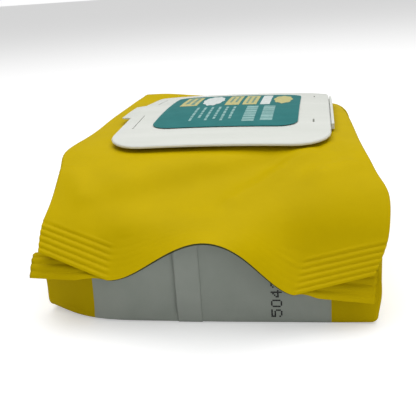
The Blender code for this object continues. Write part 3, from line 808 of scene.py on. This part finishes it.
def face_above(node):
    """A function that gives the height of a node's top face at x and y."""
    mesh = node.data
    corners = [vertex.co for vertex in mesh.vertices]
    tree = BVHTree.FromPolygons(corners, [tuple(face.vertices) for face in mesh.polygons])

    def height(x, y):
        place_hit = tree.ray_cast(Vector((x, y, OVER_THE_LID)), Vector((0, 0, -1)))[0]
        return place_hit.z

    return height


label_height = face_above(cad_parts["lid_label"])


def ink(name, outlines, colour_pair, above=INK_HEIGHT):
    """Flat print from rings of (x, y) in millimetres, all of four points and each cut into a grid
    of small quads that lies on the label. Returns the printed piece, which rides on the lid."""
    points, quads = [], []
    for ring in outlines:
        a, b, c, d = (np.array(corner, float) * MM for corner in ring)
        across = max(1, int(np.ceil(np.linalg.norm(b - a) / INK_STEP)))
        along = max(1, int(np.ceil(np.linalg.norm(d - a) / INK_STEP)))
        first = len(points)
        for v in np.linspace(0, 1, along + 1):
            for u in np.linspace(0, 1, across + 1):
                x, y = (a * (1 - u) + b * u) * (1 - v) + (d * (1 - u) + c * u) * v
                points.append((x, y, label_height(x, y) + above))
        quads.append(grid_faces(along + 1, across + 1, closed_across=False) + first)
    material, nodes, links, shader = new_material(name)
    place = nodes.new("ShaderNodeTexCoord").outputs["Object"]
    links.new(clouded(nodes, links, place, 600, *colour_pair), shader.inputs["Base Color"])
    shader.inputs["Roughness"].default_value = 0.5
    shader.inputs["Specular IOR Level"].default_value = 0.15
    made = make_object(name, points, np.concatenate(quads), [material])
    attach(made, "lid")
    return made


def block(x0, x1, y0, y1):
    """The four corners of a plain block."""
    return (x0, y0), (x1, y0), (x1, y1), (x0, y1)


def scalloped(x, y, half_x, half_y, lobes, depth):
    """An oval badge whose radius is 1 + depth cos(lobes angle) of the oval's, as slices side by
    side."""
    turns = np.linspace(0, np.pi, 25)
    reach = 1 + depth * np.cos(lobes * turns)
    edge_x = x - half_x * reach * np.cos(turns)
    rise = half_y * reach * np.sin(turns)
    return [
        ((a, y - r), (b, y - q), (b, y + q), (a, y + r))
        for a, b, r, q in zip(edge_x[:-1], edge_x[1:], rise[:-1], rise[1:])
        if b > a
    ]


dice = np.random.default_rng(21)


def lettering(x0, x1, y0, y1, word, gap):
    """A column of words: blocks of uneven length along y, with gaps between them."""
    words = []
    y = y1
    while y - word * 0.5 > y0:
        end = max(y0, y - word * dice.uniform(0.6, 1.5))
        words.append(block(x0, x1, end, y))
        y = end - gap
    return words


BADGE_BACK, BADGE_FRONT = 39.0, 9.0
BADGE_MIDDLE = (BADGE_BACK + BADGE_FRONT) / 2
yellow_blocks = [
    block(-24.5, -16.5, BADGE_FRONT + 1, BADGE_BACK - 2),
    block(-3.5, 3.0, BADGE_FRONT, BADGE_BACK),
    block(4.5, 11.0, BADGE_FRONT, BADGE_BACK),
]
yellow_blocks += scalloped(22.5, BADGE_MIDDLE, 4.2, 12.5, 8, 0.07)
white_blocks = scalloped(-10.2, BADGE_MIDDLE, 4.8, 14.5, 10, 0.06)
white_blocks.append(block(12.6, 17.0, BADGE_FRONT, BADGE_BACK))
pale_words = []
for column in range(6):
    x = -15.0 + 3.3 * column
    pale_words += lettering(x, x + 1.1, -22.0 + 3 * (column % 2), 4.5, 4.0, 0.9)
for x in (7.5, 15.0):
    pale_words += lettering(x, x + 5.0, -24.0, 5.0, 3.4, 0.7)
teal_words = []
for x0, x1 in ((-22.8, -21.2), (-19.8, -18.2), (-1.9, -0.9), (0.6, 1.6), (6.0, 7.0), (8.4, 9.4)):
    teal_words += lettering(x0, x1, BADGE_FRONT + 4, BADGE_BACK - 4, 5.0, 1.0)

ink("label_print_yellow", yellow_blocks, ((0.50, 0.47, 0.20), (0.56, 0.52, 0.24)))
ink("label_print_white", white_blocks, ((0.60, 0.66, 0.64), (0.70, 0.74, 0.72)))
ink("label_print_pale", pale_words, ((0.22, 0.42, 0.40), (0.30, 0.50, 0.48)))
ink("label_print_teal", teal_words, ((0.12, 0.26, 0.22), (0.18, 0.32, 0.26)), OVERPRINT_HEIGHT)

# ---------------------------------------------------------------------------------------------
# The studio: a plain pale floor, a soft light from above with a weak one in front, and white
# surroundings. Floor and surroundings are brighter to the eye than the light that they throw.
# ---------------------------------------------------------------------------------------------

floor_mesh = bpy.data.meshes.new("floor")
FLOOR = 6.0
floor_corners = [(x * FLOOR, y * FLOOR, 0) for x, y in ((-1, -1), (1, -1), (1, 1), (-1, 1))]
floor_mesh.from_pydata(floor_corners, [], [(0, 1, 2, 3)])
floor = bpy.data.objects.new("floor", floor_mesh)
bpy.context.scene.collection.objects.link(floor)
floor_paint, nodes, links, shader = new_material("floor_paint")
shader.inputs["Base Color"].default_value = (0.78, 0.78, 0.78, 1)
shader.inputs["Roughness"].default_value = 0.8
shader.inputs["Emission Color"].default_value = (1, 1, 1, 1)
seen = nodes.new("ShaderNodeLightPath")
glow = nodes.new("ShaderNodeMath")
glow.operation = "MULTIPLY"
glow.inputs[1].default_value = 0.42
links.new(seen.outputs["Is Camera Ray"], glow.inputs[0])
links.new(glow.outputs[0], shader.inputs["Emission Strength"])
floor_mesh.materials.append(floor_paint)

world = bpy.data.worlds.new("white_room")
world.use_nodes = True
sky = world.node_tree.nodes["Background"]
sky.inputs[0].default_value = (1, 1, 1, 1)
light_path = world.node_tree.nodes.new("ShaderNodeLightPath")
strength = world.node_tree.nodes.new("ShaderNodeMapRange")
strength.inputs["To Min"].default_value = 0.30
strength.inputs["To Max"].default_value = 1.0
world.node_tree.links.new(light_path.outputs["Is Camera Ray"], strength.inputs["Value"])
world.node_tree.links.new(strength.outputs[0], sky.inputs[1])
bpy.context.scene.world = world


def soft_light(name, place, towards, size, power):
    """A square area light at a place, turned to face a point."""
    lamp = bpy.data.lights.new(name, "AREA")
    lamp.shape = "SQUARE"
    lamp.size = size
    lamp.energy = power
    made = bpy.data.objects.new(name, lamp)
    made.location = place
    aim = np.array(towards, float) - np.array(place, float)
    made.rotation_euler = Vector(aim).to_track_quat("-Z", "Y").to_euler()
    bpy.context.scene.collection.objects.link(made)
    return made


soft_light("overhead_softbox", (0.0, 0.05, 0.9), (0, 0, 0), 1.2, 9.5)
soft_light("front_right_fill", (0.55, -0.75, 0.35), (0.02, -0.05, 0.03), 0.6, 1.2)

CAMERA_PLACE = (0.0390, -0.2962, 0.11265)
CAMERA_TURN = 9.93
CAMERA_DOWN = 18.56
CAMERA_ROLL = 4.08
turn, down, roll = np.radians((CAMERA_TURN, CAMERA_DOWN, CAMERA_ROLL))
forward = np.array([-np.sin(turn) * np.cos(down), np.cos(turn) * np.cos(down), -np.sin(down)])
level = np.array([np.cos(turn), np.sin(turn), 0.0])
upright = np.cross(level, forward)
right_way = np.cos(roll) * level - np.sin(roll) * upright
up_way = np.sin(roll) * level + np.cos(roll) * upright
camera_data = bpy.data.cameras.new("camera")
camera_data.lens = 58.85
camera_data.clip_start = 0.01
camera = bpy.data.objects.new("camera", camera_data)
camera.matrix_world = Matrix(np.column_stack([right_way, up_way, -forward]).tolist()).to_4x4()
camera.location = CAMERA_PLACE
bpy.context.scene.collection.objects.link(camera)
bpy.context.scene.camera = camera
bpy.context.scene.view_settings.view_transform = "Standard"
